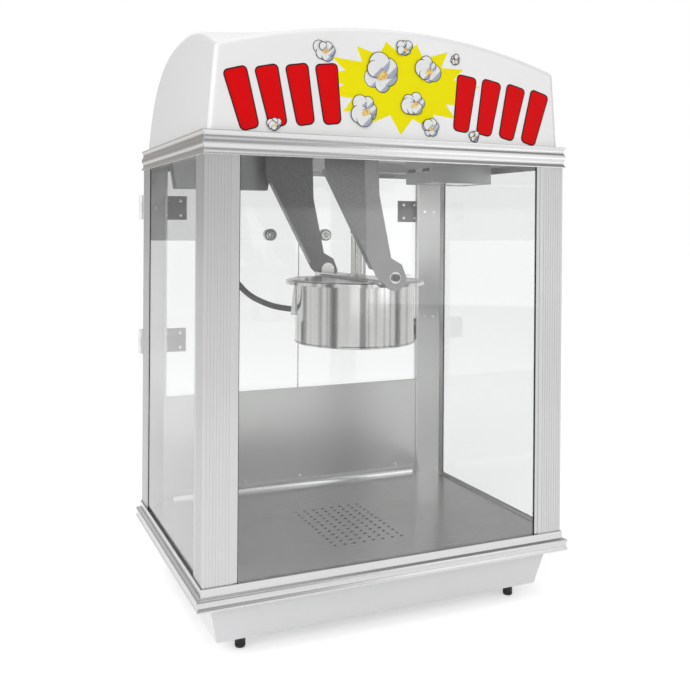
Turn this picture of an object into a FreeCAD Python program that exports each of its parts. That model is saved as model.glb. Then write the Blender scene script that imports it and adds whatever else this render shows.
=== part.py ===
# Countertop popcorn machine: a glazed cabinet on a low base, with a tilting kettle
# hung from two arms, a perforated deck, two rear doors and a moulded dome on top.
# Millimetres, +Z up. X runs left to right and the front of the cabinet faces -Y.

import FreeCAD
import Part
import math
import os

V = FreeCAD.Vector

# ---- driving dimensions ---------------------------------------------------------

# cabinet
overall_w = 711.0            # base trim, lip to lip, across the front
overall_d = 508.0            # base trim, lip to lip, front to rear
foot_h = 22.0
foot_r = 9.0
foot_inset = 46.0            # foot centre in from the pan's bottom edge, along X
foot_inset_d = 20.0          # the same along Y
pan_h = 86.0                 # base pan, bottom to rim
pan_wall = 1.5
pan_taper = 19.0             # how far each side leans in from rim to bottom
pan_rim = 15.0               # width of the pan's outward rim
pan_rim_t = 2.0
lip_overhang = 10.5          # base trim lip beyond the posts
sill_h = 14.0
sill_w = 28.0
deck_t = 1.2
window_h = 703.0             # sill top to header underside
header_h = 22.0
header_w = 20.0
ceiling_t = 2.0
top_overhang = 4.0           # top trim beyond the posts
top_trim_drop = 35.0         # top trim below the post tops
trim_cap = 2.0               # top trim's return over the ceiling plate
cap_reach = 14.0

# posts and glass
post_leg = 50.8
post_t = 8.0
channel_w = 7.0              # glass channel beside each leg
channel_step = 1.0           # channel set back from the leg's face
channel_wall = 0.8
flute_pitch = 5.3
flute_w = 1.2
flute_deep = 0.5
glass_t = 4.0
glass_play = 0.2             # each side of the pane in its channel
glass_entry = 6.0            # how far a pane enters its channel
cover_t = 1.2                # diagonal corner covers
cover_flange = 6.0

# rear of the cabinet
panel_top = 341.0            # top edge of the lower rear panel
panel_t = 1.5
panel_fold = 10.0
door_t = 5.0
door_bottom = 335.0
door_gap = 2.0               # doors to the rear of the posts
door_seam = 2.0
door_side = 6.0              # door edge in from the cabinet side
door_top_gap = 2.0           # door top below the top trim
hinge_h = 50.0
hinge_low = 432.0
hinge_high = 711.0
hinge_out = 2.0              # pin beyond the cabinet side
knuckle_r = 5.0
hinge_pin_r = 2.0
leaf_t = 1.5
leaf_reach = 97.0            # door leaf, from the pin inwards
post_leaf_reach = 42.0
leaf_play = 0.3              # between knuckles
leaf_screw_in = 14.0
knob_r = 13.0
knob_len = 16.0
knob_screw_r = 3.0
washer_t = 1.5
knob_x = 65.7
knob_z = 680.0

# kettle, measured from the floor and from its own centre
kettle_x = 26.0
kettle_r = 118.0
kettle_h = 124.0
kettle_top = 594.0
kettle_skin = 1.0
bowl_gap = 5.0                # air between the bowl and the kettle's wall
bowl_t = 1.5
bowl_depth = 84.0
bowl_corner = 8.0
heater_in = 14.0              # heater plate in from the bowl's wall
heater_t = 14.0
rim_reach = 19.5              # rim beyond the kettle's wall
rim_t = 2.0
rim_turn = 8.0               # turned-down edge of the rim
lid_in = 9.5                  # lids in from the rim's edge
lid_t = 1.2
lid_lift = 0.3               # lids above the rim
lid_hinge_r = 2.5
lid_hinge_play = 0.3
lid_tab_w = 22.0
lid_tab_half = 9.0
bar_w = 44.0                 # crossbar between the lids
bar_h = 8.0
bar_t = 2.0
pivot_dx = 7.0               # trunnions to the right of the kettle's centre
pivot_up = 12.0              # trunnions above the rim
trunnion_r = 5.0
trunnion_out = 7.0           # trunnions beyond the arms
ear_r = 15.0
ear_half = 14.0
run_gap = 0.05               # running clearance on shafts and trunnions
ear_t = 3.0
ear_gap = 1.0                # trunnion ears to the arms
arm_gap = 21.0                # arm plates beyond the rim
arm_t = 3.0
arm_foot_r = 24.0
arm_top_w = 107.0
arm_flange = 15.0
sleeve_r = 8.0
sleeve_top = 682.0
flange_r = 17.0
flange_t = 3.0
stay_r = 3.0
stay_places = (-27.0, -44.0)
yoke_end = -48.0
yoke_half = 4.0
yoke_drop = 14.0             # yoke below the sleeve's top
shaft_r = 4.0
blade_gap = 12.0              # stirrer blade to the bowl's wall
blade_h = 12.5
blade_half_t = 1.5
wire_r = 2.5
hub_r = 11.0
hub_h = 19.0
floor_gap = 1.0              # stirrer above the bowl's floor
tang_w = 8.0
tang_t = 4.0
tang_h = 12.0
tang_play = 0.3
fork_r = 9.0
fork_gap = 3.0               # fork above the sleeve
fork_cover = 16.0            # fork above its slot
gearbox_half = V(45.0, 35.0, 0.0)
gearbox_h = 52.0
motor_r = 32.0
motor_h = 73.0
motor_off = 15.0
drive_r = 6.0
terminal_turn = 25.0          # terminal box turned from the left towards the rear, degrees
terminal_half = 20.0
terminal_low = 54.0           # terminal box above the kettle's bottom
terminal_out = 8.0            # its foot beyond the kettle's wall
terminal_lean = 6.0           # its outer face leans in by this angle, degrees
lead_r = 5.75
lead_up = 10.0                # lead above the terminal box's foot
plug_r = 13.0
plug_h = 26.0

# ceiling fittings
lamp_x = 182.0
lamp_front = -30.0
lamp_d = 110.0
lamp_drop = 57.0
sheet_t = 1.2
box_left = -298.0
box_w = 216.0
box_lean = 12.0
box_d = 34.0
box_drop = 72.0
switch_rim = 18.0             # switch plate beyond the outer rockers
switch_half_h = 20.0
lamp_slot = (24.0, 31.0)      # heights of the air slot above the lamp housing's foot
lamp_slot_end = 8.0
lamp_axis_up = 30.0
holder_r = 15.0
holder_len = 30.0
bulb_neck_r = 11.0
bulb_neck = 22.0
bulb_r = 20.0
bulb_reach = 66.0             # centre of the bulb from its holder's foot
lens_t = 3.0
socket_x = 110.0              # kettle socket from the wiring box's left end
socket_r = 17.0
socket_h = 14.0
rocker_w = 13.0
rocker_h = 21.0
rocker_tilt = 8.0             # degrees, each way from level
rocker_play = 0.4             # round each rocker in the switch plate
rocker_gap = 50.0             # from one rocker to the next

# dome
dome_inset = 10.5            # dome foot in from the top trim
dome_t = 3.0
dome_ridge = 192.0           # highest line above the trim
dome_arch = 189.0            # front face at its middle
dome_corner = 136.0          # front face at its corners
dome_ridge_y = -20.0
dome_draft = 4.8             # degrees, each end
dome_round = 9.0

# drawer and deck
drawer_w = 270.0
drawer_front = -150.0
drawer_h = 42.0
drawer_rest = 22.0           # drawer bottom above the pan bottom
drawer_gap = 0.3
drawer_wall = 1.2
drawer_reveal = 12.0         # drawer face beyond its opening
hole_r = 3.0
hole_pitch_x = 19.3
hole_pitch_y = 18.2
holes_x = 8
holes_y = 12
holes_mid = V(-5.0, -38.0, 0.0)

# ---- derived planes ---------------------------------------------------------------

half_w = overall_w / 2 - lip_overhang          # outer faces of the posts
half_d = overall_d / 2 - lip_overhang
rim_z = foot_h + pan_h                         # posts and sills stand here
deck_z = rim_z + sill_h                        # deck underside, glass foot
deck_top = deck_z + deck_t
header_z = deck_z + window_h
post_top = header_z + header_h
ceiling_top = post_top + ceiling_t
trim_low = post_top - top_trim_drop
trim_top = ceiling_top + trim_cap
bowl_r = kettle_r - kettle_skin - bowl_gap
rim_r = kettle_r + rim_reach
lid_r = rim_r - lid_in
arm_y = rim_r + arm_gap + arm_t / 2            # middle of each arm plate
inner_w = half_w - post_t                      # inner faces of the post legs
inner_d = half_d - post_t
leg_in = half_w - post_leg                     # end of each leg, along X
leg_in_d = half_d - post_leg
glass_x = half_w - channel_step - channel_wall - glass_play   # outer face of a side pane
glass_y = half_d - channel_step - channel_wall - glass_play
door_y = half_d + door_gap                     # inner face of the doors
door_out = door_y + door_t
pin_x = half_w + hinge_out
pin_y = door_out + knuckle_r
door_top = trim_low - door_top_gap
pivot_x = kettle_x + pivot_dx
lamp_w = half_w - header_w - lamp_x            # lamp housing reaches the right header
pivot_z = kettle_top + pivot_up
kettle_low = kettle_top - kettle_h
shaft_top = sleeve_top + tang_h
rear_reach = door_out + knob_len
front_reach = overall_d / 2
box_back = half_d - header_w - 2.0              # back of the wiring box
centre_shift = (rear_reach - front_reach) / 2  # puts the origin mid-way, front to rear

# ---- small helpers ----------------------------------------------------------------


def box(x0, x1, y0, y1, z0, z1):
    return Part.makeBox(x1 - x0, y1 - y0, z1 - z0, V(x0, y0, z0))


def rod(start, end, radius):
    run = end - start
    return Part.makeCylinder(radius, run.Length, start, run)


def prism(points, run):
    wire = Part.makePolygon(points + [points[0]])
    return Part.Face(wire).extrude(run)


def fuse(first, *others):
    joined = first.multiFuse(list(others))
    return joined.removeSplitter()


def cut(shape, *tools):
    for tool in tools:
        shape = shape.cut(tool)
    return shape


def mirror_x(shape):
    return shape.mirror(V(0, 0, 0), V(1, 0, 0))


def mirror_y(shape):
    return shape.mirror(V(0, 0, 0), V(0, 1, 0))


def screw_head(at, out, radius=3.2, height=1.8):
    head = Part.makeCylinder(radius, height, at, out)
    slot = Part.makeCylinder(radius * 0.45, height * 0.5, at + out * height * 0.6, out)
    return head.cut(slot)


def save(name, *shapes):
    shape = shapes[0] if len(shapes) == 1 else Part.makeCompound(list(shapes))
    moved = shape.copy()
    moved.translate(V(0, -centre_shift, 0))
    moved.exportStep("parts/" + name + ".step")


# ---- base -------------------------------------------------------------------------


def tapered_block(inset, bottom, top):
    """The pan's outside, inset by a wall, between two heights."""
    def outline(z):
        lean = pan_taper * (rim_z - pan_rim_t - z) / (pan_h - pan_rim_t)
        x = half_w - pan_rim - lean - inset
        y = half_d - pan_rim - lean - inset
        corners = [V(-x, -y, z), V(x, -y, z), V(x, y, z), V(-x, y, z)]
        return Part.makePolygon(corners + [corners[0]])
    return Part.makeLoft([outline(bottom), outline(top)], True, True)


def pan_wall_y(z):
    """Outer face of the pan's rear wall at a height."""
    lean = pan_taper * (rim_z - pan_rim_t - z) / (pan_h - pan_rim_t)
    return half_d - pan_rim - lean


def base_pan():
    shell = cut(tapered_block(0, foot_h, rim_z - pan_rim_t),
                tapered_block(pan_wall, foot_h + pan_wall, rim_z))
    rim_in = pan_rim + pan_wall
    rim = cut(box(-half_w, half_w, -half_d, half_d, rim_z - pan_rim_t, rim_z),
              box(-half_w + rim_in, half_w - rim_in, -half_d + rim_in, half_d - rim_in,
                  rim_z - 2 * pan_rim_t, rim_z + 1))
    runners = []
    runner_top = foot_h + drawer_rest - drawer_gap
    for side in (-1, 1):
        mid = side * drawer_w * 0.42
        runners.append(box(mid - 7, mid + 7, drawer_front, half_d - pan_rim - pan_taper - 12,
                           foot_h + pan_wall, runner_top))
    pan = fuse(shell, rim, *runners)
    return cut(pan, drawer_opening())


def drawer_opening():
    z0 = foot_h + drawer_rest - 1.0
    side = drawer_w / 2 + 1.0
    return box(-side, side, half_d - pan_rim - pan_taper - 6, half_d,
               z0, z0 + drawer_h + 3.0)


def mitred(profile, along_x, sign):
    """One side of a trim ring. The profile is (out from the post face, z) points."""
    reach = max(point[0] for point in profile)
    deep = 40.0
    if along_x:
        far, near = half_d + reach, half_w + reach
        points = [V(-near, sign * (half_d + out), z) for out, z in profile]
        run = V(2 * near, 0, 0)
        plan = [V(-near, sign * far, 0), V(near, sign * far, 0),
                V(near - deep, sign * (far - deep), 0), V(deep - near, sign * (far - deep), 0)]
    else:
        far, near = half_w + reach, half_d + reach
        points = [V(sign * (half_w + out), -near, z) for out, z in profile]
        run = V(0, 2 * near, 0)
        plan = [V(sign * far, -near, 0), V(sign * far, near, 0),
                V(sign * (far - deep), near - deep, 0), V(sign * (far - deep), deep - near, 0)]
    return prism(points, run).common(prism(plan, V(0, 0, 2000)))


def arc_points(start, mid, end, count=7):
    """Points along the arc through three (out, z) points, ends included."""
    arc = Part.Arc(V(start[0], start[1], 0), V(mid[0], mid[1], 0), V(end[0], end[1], 0))
    edge = arc.toShape()
    return [(point.x, point.y) for point in edge.discretize(count)]


def base_trim_profile():
    low = rim_z - 15.0
    lip = rim_z + 4.0
    fascia = deck_z + 6.0
    out = lip_overhang
    outside = [(0, fascia), (2.5, fascia), (3.0, lip + 3.0), (out - 1.5, lip + 1.0), (out, lip - 1.5)]
    cove = arc_points((out - 0.2, lip - 3.0), (out - 2.4, (lip + low) / 2), (out - 0.2, low + 4.0))
    inside = [(out, low + 2.5), (out - 0.5, low), (-12.0, low), (-12.0, low + 2.0),
              (out - 3.5, low + 2.0), (out - 4.6, (lip + low) / 2), (out - 3.5, lip - 2.0), (0, lip)]
    return outside + cove + inside


def top_trim_profile():
    out = top_overhang
    low, high = trim_low, trim_top
    middle = (low + high) / 2
    lower = arc_points((out, low + 2.5), (out - 2.8, (low + middle) / 2), (out - 0.2, middle - 3.4))
    upper = arc_points((out - 0.2, middle + 3.4), (out - 2.8, (high + middle) / 2), (out, high - 2.5))
    return ([(0, low), (out, low)] + lower + upper
            + [(out, high), (-cap_reach, high), (-cap_reach, ceiling_top), (0, ceiling_top)])


def trim_ring(name, profile):
    save(name + "_front", mitred(profile, True, -1))
    save(name + "_rear", mitred(profile, True, 1))
    save(name + "_left", mitred(profile, False, -1))
    save(name + "_right", mitred(profile, False, 1))


def feet():
    made = []
    foot_x = half_w - pan_rim - pan_taper - foot_inset
    foot_y = half_d - pan_rim - pan_taper - foot_inset_d
    for x in (-foot_x, foot_x):
        for y in (-foot_y, foot_y):
            foot = Part.makeCylinder(foot_r, foot_h, V(x, y, 0))
            made.append(foot.makeChamfer(1.0, [foot.Edges[2]]))
    return made


def sill_rails():
    end = leg_in - channel_w
    end_d = leg_in_d - channel_w
    front = box(-end, end, -half_d, -half_d + sill_w, rim_z, deck_z)
    rear = box(-leg_in, leg_in, inner_d - sill_w, inner_d, rim_z, deck_z)
    left = box(-half_w, -half_w + sill_w, -end_d, end_d, rim_z, deck_z)
    return [front, rear, left, mirror_x(left)]


def header_rails():
    end = leg_in - channel_w
    end_d = leg_in_d - channel_w
    front = box(-end, end, -half_d, -half_d + header_w, header_z, post_top)
    rear = box(-leg_in, leg_in, half_d - header_w, half_d, header_z, post_top)
    left = box(-half_w, -half_w + header_w, -end_d, end_d, header_z, post_top)
    return [front, rear, left, mirror_x(left)]


def deck_plate():
    plate = box(-inner_w + 0.5, inner_w - 0.5, -inner_d + 0.5, inner_d - 0.5, deck_z, deck_top)
    holes = []
    for column in range(holes_x):
        for row in range(holes_y):
            x = holes_mid.x + (column - (holes_x - 1) / 2) * hole_pitch_x
            y = holes_mid.y + (row - (holes_y - 1) / 2) * hole_pitch_y
            holes.append(Part.makeCylinder(hole_r, deck_t * 3, V(x, y, deck_z - deck_t)))
    return plate.cut(Part.makeCompound(holes))


def deck_heater():
    reach = half_w - pan_rim - 70.0
    pad = box(-reach, -reach + 110.0, -150.0, 150.0, deck_z - 6.0, deck_z)
    return [pad, mirror_x(pad)]


def kernel_drawer():
    bottom = foot_h + drawer_rest
    side = drawer_w / 2
    back = pan_wall_y(bottom) - pan_wall - 8.0
    tray = cut(box(-side, side, drawer_front, back, bottom, bottom + drawer_h),
               box(-side + drawer_wall, side - drawer_wall, drawer_front + drawer_wall,
                   back - drawer_wall, bottom + drawer_wall, bottom + drawer_h + 1))
    low = bottom - drawer_reveal
    high = bottom + drawer_h + drawer_reveal
    face_side = side + drawer_reveal
    skin = drawer_gap
    plate = prism([V(-face_side, pan_wall_y(low) + skin, low),
                   V(-face_side, pan_wall_y(low) + skin + 2.0, low),
                   V(-face_side, pan_wall_y(high) + skin + 2.0, high),
                   V(-face_side, pan_wall_y(high) + skin, high)], V(2 * face_side, 0, 0))
    mid = bottom + drawer_h / 2
    neck = box(-side + 20, side - 20, back - drawer_wall, pan_wall_y(mid) + 1.0, mid - 10, mid + 10)
    pull_y = pan_wall_y(mid)
    pull = box(-45, 45, pull_y, pull_y + 13, mid - 4, mid + 4)
    return fuse(tray, plate, neck, pull)


# ---- posts, glass and roof ----------------------------------------------------------


def leg_face(length):
    """(along, deep) points of a fluted outer face, corner outwards."""
    points = []
    count = int((length - 6.0) / flute_pitch)
    for index in range(count):
        at = 5.0 + index * flute_pitch
        points += [(at, 0), (at, flute_deep), (at + flute_w, flute_deep), (at + flute_w, 0)]
    return points


def channel_end():
    """The end of a leg, with a channel that takes a pane's edge."""
    end = post_leg + channel_w
    slot = channel_step + channel_wall
    slot_end = slot + glass_t + 2 * glass_play
    return [(post_leg, 0), (post_leg, channel_step), (end, channel_step), (end, slot),
            (post_leg, slot), (post_leg, slot_end), (end, slot_end), (end, post_t), ]


def plain_end():
    return [(post_leg, 0), (post_leg, post_t)]


def post(front):
    """The left-hand post, front or rear, as an L with fluted faces."""
    across = leg_face(post_leg) + (channel_end() if front else plain_end())
    side = leg_face(post_leg) + channel_end()
    corner = V(-half_w, -half_d, rim_z)
    points = [V(0, 0, 0)]
    points += [V(along, deep, 0) for along, deep in across]
    points += [V(post_t, post_t, 0)]
    points += [V(deep, along, 0) for along, deep in reversed(side)]
    made = prism([corner + point for point in points], V(0, 0, post_top - rim_z))
    return made if front else mirror_y(made)


def corner_cover():
    """Sheet across the inside of the rear left post, with a flange on each leg."""
    flange = cover_flange
    a = V(-leg_in - flange, inner_d, deck_top)
    b = V(-inner_w, leg_in_d + flange, deck_top)
    t = cover_t
    skew = t * 0.414
    outer = [a + V(flange, 0, 0), a, b, b + V(0, -flange, 0)]
    inner = [b + V(t, -flange, 0), b + V(t, -skew, 0), a + V(skew, -t, 0), a + V(flange, -t, 0)]
    return prism(outer + inner, V(0, 0, header_z - deck_top))


def glass_front():
    end = leg_in - channel_w + glass_entry
    return box(-end, end, -glass_y, -glass_y + glass_t, deck_z, header_z)


def glass_left():
    end = leg_in_d - channel_w + glass_entry
    return box(-glass_x, -glass_x + glass_t, -end, end, deck_z, header_z)


def ceiling_plate():
    plate = box(-half_w, half_w, -half_d, half_d, post_top, ceiling_top)
    return plate.cut(Part.makeCylinder(drive_r + 3.0, ceiling_t * 3, V(kettle_x, 0, post_top - ceiling_t)))


def arch_drop(x):
    """How far the front edge lies below its middle at a distance from the centre."""
    span = half_w + top_overhang - dome_inset - 12.0
    sag = dome_arch - dome_corner
    radius = (span * span + sag * sag) / (2 * sag)
    return radius - math.sqrt(radius * radius - x * x)


def dome_section(x, inset):
    """Outline of the dome at one x: front face, roof to the ridge, rounded back, floor."""
    floor = trim_top
    half = half_d + top_overhang - dome_inset - inset
    front = dome_arch - arch_drop(x) - inset
    ridge = dome_ridge - inset
    run = half + dome_ridge_y
    sag = ridge - front
    roof = []
    for step in range(9):
        part = step / 8
        roof.append(V(x, -half + part * run, floor + ridge - sag * (1 - part) ** 2 * (1 + 0.25 * part)))
    back = []
    deep = half - dome_ridge_y
    power = 2.7
    for step in range(15):
        angle = math.pi / 2 * step / 14
        out = math.sin(angle) ** (2 / power)
        up = math.cos(angle) ** (2 / power) if step < 14 else 0.0
        back.append(V(x, dome_ridge_y + deep * out, floor + ridge * up))
    roof_curve = Part.BSplineCurve()
    roof_curve.interpolate(roof)
    back_curve = Part.BSplineCurve()
    back_curve.interpolate(back)
    corner = V(x, -half, floor)
    edges = [Part.LineSegment(corner, roof[0]).toShape(), roof_curve.toShape(),
             back_curve.toShape(), Part.LineSegment(back[-1], corner).toShape()]
    return Part.Wire(edges)


def dome_body(inset):
    """The dome as one solid, its ends drafted and every edge above its foot rounded."""
    end = half_w + top_overhang - dome_inset - inset
    stations = [end * (step / 5) for step in range(-5, 6)]
    body = Part.makeLoft([dome_section(x, inset) for x in stations], True, False)
    lean = math.tan(math.radians(dome_draft)) * dome_ridge * 1.2
    top = trim_top + dome_ridge * 1.2
    for side in (-1, 1):
        points = [V(side * end, -half_d * 2, trim_top), V(side * (end - lean), -half_d * 2, top),
                  V(side * end * 2, -half_d * 2, top), V(side * end * 2, -half_d * 2, trim_top)]
        body = body.cut(prism(points, V(0, half_d * 4, 0)))
    sharp = [edge for edge in body.Edges if edge_angle(body, edge) > 20.0 and edge.BoundBox.ZMax > trim_top + 1]
    return body.makeFillet(dome_round - inset, sharp)


def edge_angle(body, edge):
    """Angle in degrees between the two faces that meet at an edge."""
    at = edge.valueAt((edge.FirstParameter + edge.LastParameter) / 2)
    faces = [face for face in body.Faces if any(edge.isSame(other) for other in face.Edges)]
    normals = [face.normalAt(*face.Surface.parameter(at)) for face in faces]
    return math.degrees(normals[0].getAngle(normals[-1]))


def dome():
    return dome_body(0).cut(dome_body(dome_t))


# ---- ceiling fittings -----------------------------------------------------------------


def wiring_box():
    low = post_top - box_drop
    front = box_back - box_d

    def block(skin):
        x0 = box_left + skin
        x1 = box_left + box_w - skin
        return prism([V(x0, front + skin, post_top), V(x1, front + skin, post_top),
                      V(x1 - box_lean, front + skin, low + skin),
                      V(x0 + box_lean, front + skin, low + skin)], V(0, box_d - 2 * skin, 0))
    shell = block(0).cut(block(sheet_t))
    return cut(shell, *rocker_windows())


def rocker_windows():
    """Openings for the rockers, through the wiring box and the switch plate."""
    half_x = rocker_w / 2 + rocker_play
    half_z = rocker_h / 2 + rocker_play
    z = rocker_z()
    return [box(x - half_x, x + half_x, box_back - 2 * sheet_t, box_back + 2 * sheet_t, z - half_z, z + half_z)
            for x in rocker_places()]


def rocker_places():
    mid = box_left + box_w / 2
    return [mid - rocker_gap, mid, mid + rocker_gap]


def rocker_z():
    return post_top - box_drop / 2


def rocker_pivot_y():
    return box_back + 1.0


def rocker(x):
    """A rocker cap at rest, its lower end pressed in."""
    y = rocker_pivot_y()
    z = rocker_z()
    half = rocker_h / 2 - 1.2
    top = [V(x - rocker_w / 2, y - 4.0, z - half), V(x - rocker_w / 2, y + 3.2, z - half),
           V(x - rocker_w / 2, y + 1.8, z), V(x - rocker_w / 2, y + 3.2, z + half),
           V(x - rocker_w / 2, y - 4.0, z + half)]
    cap = prism(top, V(rocker_w, 0, 0))
    cap.rotate(V(x, y, z), V(1, 0, 0), rocker_tilt)
    return cap


def switch_plate():
    places = rocker_places()
    z = rocker_z()
    plate = box(places[0] - switch_rim, places[-1] + switch_rim, box_back, box_back + 1.0,
                z - switch_half_h, z + switch_half_h)
    return cut(plate, *rocker_windows())


def lamp_housing():
    low = post_top - lamp_drop
    x1, y1 = lamp_x + lamp_w, lamp_front + lamp_d
    t = sheet_t
    shell = cut(box(lamp_x, x1, lamp_front, y1, low, post_top),
                box(lamp_x + t, x1 - t, lamp_front + t, y1 - t, low - 1, post_top - t))
    slot = box(lamp_x - 1, lamp_x + t + 1, lamp_front + lamp_slot_end, y1 - lamp_slot_end,
               low + lamp_slot[0], low + lamp_slot[1])
    return shell.cut(slot)


def lamp_parts():
    """Lamp holder with its bulb, and the lens below them."""
    low = post_top - lamp_drop
    x = lamp_x + sheet_t
    y = lamp_front + lamp_d / 2
    z = low + lamp_axis_up
    neck = x + holder_len
    holder = rod(V(x, y, z), V(neck, y, z), holder_r)
    bulb = fuse(rod(V(neck, y, z), V(neck + bulb_neck, y, z), bulb_neck_r),
                Part.makeSphere(bulb_r, V(x + bulb_reach, y, z)))
    t = sheet_t
    lens = box(lamp_x + t, lamp_x + lamp_w - t, lamp_front + t, lamp_front + lamp_d - t, low + 1, low + 1 + lens_t)
    return holder, bulb, lens


def kettle_socket():
    low = post_top - box_drop
    x, y = socket_place()
    return rod(V(x, y, low - socket_h), V(x, y, low), socket_r)


def socket_place():
    return box_left + socket_x, box_back - box_d / 2


def drive_motor():
    half = gearbox_half
    top = ceiling_top + gearbox_h
    gearbox = box(kettle_x - half.x, kettle_x + half.x, -half.y, half.y, ceiling_top, top)
    gearbox = gearbox.cut(Part.makeCylinder(drive_r + 1.0, 30, V(kettle_x, 0, ceiling_top - 1)))
    motor_x = kettle_x - motor_off
    motor = rod(V(motor_x, 0, top), V(motor_x, 0, top + motor_h), motor_r)
    return fuse(gearbox, motor)


def drive_shaft():
    low = sleeve_top + fork_gap
    slot_top = shaft_top + 2.0
    hub = rod(V(kettle_x, 0, low), V(kettle_x, 0, slot_top + fork_cover), fork_r)
    shaft = rod(V(kettle_x, 0, slot_top + fork_cover / 2), V(kettle_x, 0, ceiling_top + gearbox_h / 2), drive_r)
    slot = box(kettle_x - fork_r - 1, kettle_x + fork_r + 1, -tang_t / 2 - tang_play,
               tang_t / 2 + tang_play, low - 1, slot_top)
    return fuse(hub, shaft).cut(slot)


# ---- rear of the cabinet ---------------------------------------------------------------


def rear_panel():
    y = inner_d + 0.5
    sheet = box(-leg_in + 0.5, leg_in - 0.5, y, y + panel_t, rim_z, panel_top)
    fold_end = leg_in - 2.0
    fold = box(-fold_end, fold_end, y - panel_fold, y + panel_t, panel_top - panel_t, panel_top)
    return fuse(sheet, fold)


def rear_sill():
    """Rounded strip along the foot of the rear panel."""
    radius = 14.0
    end = leg_in - 14.0
    strip = rod(V(-end, inner_d + 0.5, deck_top), V(end, inner_d + 0.5, deck_top), radius)
    return strip.common(box(-end, end, inner_d - radius - 1, inner_d + 0.5, deck_top, deck_top + radius + 1))


def door_left():
    door = box(-half_w + door_side, -door_seam / 2, door_y, door_out, door_bottom, door_top)
    return door.cut(rod(V(-knob_x, door_y - 1, knob_z), V(-knob_x, door_out + 1, knob_z), knob_screw_r))


def knuckle(z0, z1):
    return rod(V(-pin_x, pin_y, z0), V(-pin_x, pin_y, z1), knuckle_r)


def pin_hole():
    return rod(V(-pin_x, pin_y, 0), V(-pin_x, pin_y, 2000), hinge_pin_r + run_gap)


def door_leaves_left():
    """Door leaf of each left-hand hinge, with the middle knuckle."""
    made = []
    for z in (hinge_low, hinge_high):
        third = hinge_h / 3
        plate = box(-pin_x + knuckle_r * 2, -pin_x + leaf_reach, door_out, door_out + leaf_t, z, z + hinge_h)
        low, high = z + third + leaf_play, z + 2 * third - leaf_play
        arm = box(-pin_x, -pin_x + knuckle_r * 2, door_out, door_out + leaf_t, low, high)
        leaf = fuse(plate, arm, knuckle(low, high))
        made.append(leaf.cut(pin_hole()))
    return made


def post_leaves_left():
    """Post leaf of each left-hand hinge, with the end knuckles and the pin."""
    made = []
    for z in (hinge_low, hinge_high):
        third = hinge_h / 3
        plate = box(-pin_x, -pin_x + post_leaf_reach, half_d, half_d + leaf_t, z, z + hinge_h)
        webs = [box(-pin_x - leaf_t, -pin_x, half_d, pin_y, a, b)
                for a, b in ((z, z + third), (z + 2 * third, z + hinge_h))]
        knuckles = [knuckle(z, z + third), knuckle(z + 2 * third, z + hinge_h)]
        pin = rod(V(-pin_x, pin_y, z), V(-pin_x, pin_y, z + hinge_h), hinge_pin_r)
        made.append(fuse(plate, pin, *webs, *knuckles))
    return made


def knob_left():
    """Door knob outside, with its screw through the door and a washer inside."""
    y0, y1 = door_y, door_out
    at = V(-knob_x, 0, knob_z)
    washer = rod(at + V(0, y0 - washer_t, 0), at + V(0, y0, 0), knob_r - 1.0)
    screw = rod(at + V(0, y0 - washer_t, 0), at + V(0, y1 + 4, 0), knob_screw_r)
    stem = rod(at + V(0, y1, 0), at + V(0, y1 + knob_len * 0.4, 0), knob_r * 0.6)
    grip = rod(at + V(0, y1 + knob_len * 0.4, 0), at + V(0, y1 + knob_len, 0), knob_r)
    grip = grip.makeFillet(2.0, grip.Edges)
    return fuse(washer, screw, stem, grip)


# ---- kettle ----------------------------------------------------------------------------


def turned(points):
    """Solid of revolution about the kettle's axis from (radius, z) points."""
    ring = prism_face([V(r, 0, z) for r, z in points]).revolve(V(0, 0, 0), V(0, 0, 1), 360)
    ring.translate(V(kettle_x, 0, 0))
    return ring


def prism_face(points):
    return Part.Face(Part.makePolygon(points + [points[0]]))


def kettle_shell():
    r, t = kettle_r, kettle_skin
    top = kettle_top - rim_t
    low = kettle_low
    return turned([(0, low), (r - 3, low), (r + 1.5, low + 1.5), (r + 1.5, low + 4), (r, low + 5), (r, top),
                   (r - t, top), (r - t, low + 2), (0, low + 2)])


def kettle_bowl():
    top = kettle_top
    floor = top - bowl_depth
    r, t = bowl_r, bowl_t
    corner = bowl_corner
    return turned([(0, floor), (r - corner, floor), (r, floor + corner), (r, top - rim_t), (rim_r - 2.5, top - rim_t),
                   (rim_r - 2.5, top - rim_turn), (rim_r, top - rim_turn), (rim_r, top - 1.5),
                   (rim_r - 1.5, top), (r - t, top), (r - t, floor + corner + 1), (r - corner - 1, floor + t),
                   (0, floor + t)])


def kettle_heater():
    top = kettle_top - bowl_depth
    edge = bowl_r - heater_in
    return turned([(0, top - heater_t), (edge, top - heater_t), (edge, top), (0, top)])


def kettle_crossbar():
    """Channel across the kettle with an upturned ear and a trunnion at each end."""
    z = kettle_top
    x0, x1 = kettle_x - bar_w / 2, kettle_x + bar_w / 2
    ear_out = arm_y - arm_t / 2 - ear_gap
    bar = cut(box(x0, x1, -ear_out, ear_out, z, z + bar_h),
              box(x0 + bar_t, x1 - bar_t, -ear_out - 1, ear_out + 1, z - 1, z + bar_h - bar_t))
    parts = [bar]
    for side in (-1, 1):
        y0, y1 = sorted((side * (ear_out - ear_t), side * ear_out))
        ear = rod(V(pivot_x, y0, pivot_z), V(pivot_x, y1, pivot_z), ear_r)
        tongue = box(pivot_x - ear_half, pivot_x + ear_half, y0, y1, z + bar_h - bar_t, pivot_z)
        pin_end = side * (arm_y + arm_t / 2 + trunnion_out)
        pin = rod(V(pivot_x, side * (ear_out - ear_t), pivot_z), V(pivot_x, pin_end, pivot_z), trunnion_r)
        parts += [ear, tongue, pin]
    made = fuse(*parts)
    hole = rod(V(kettle_x, 0, z - 1), V(kettle_x, 0, z + bar_h + 1), shaft_r + run_gap)
    return made.cut(hole)


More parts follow.
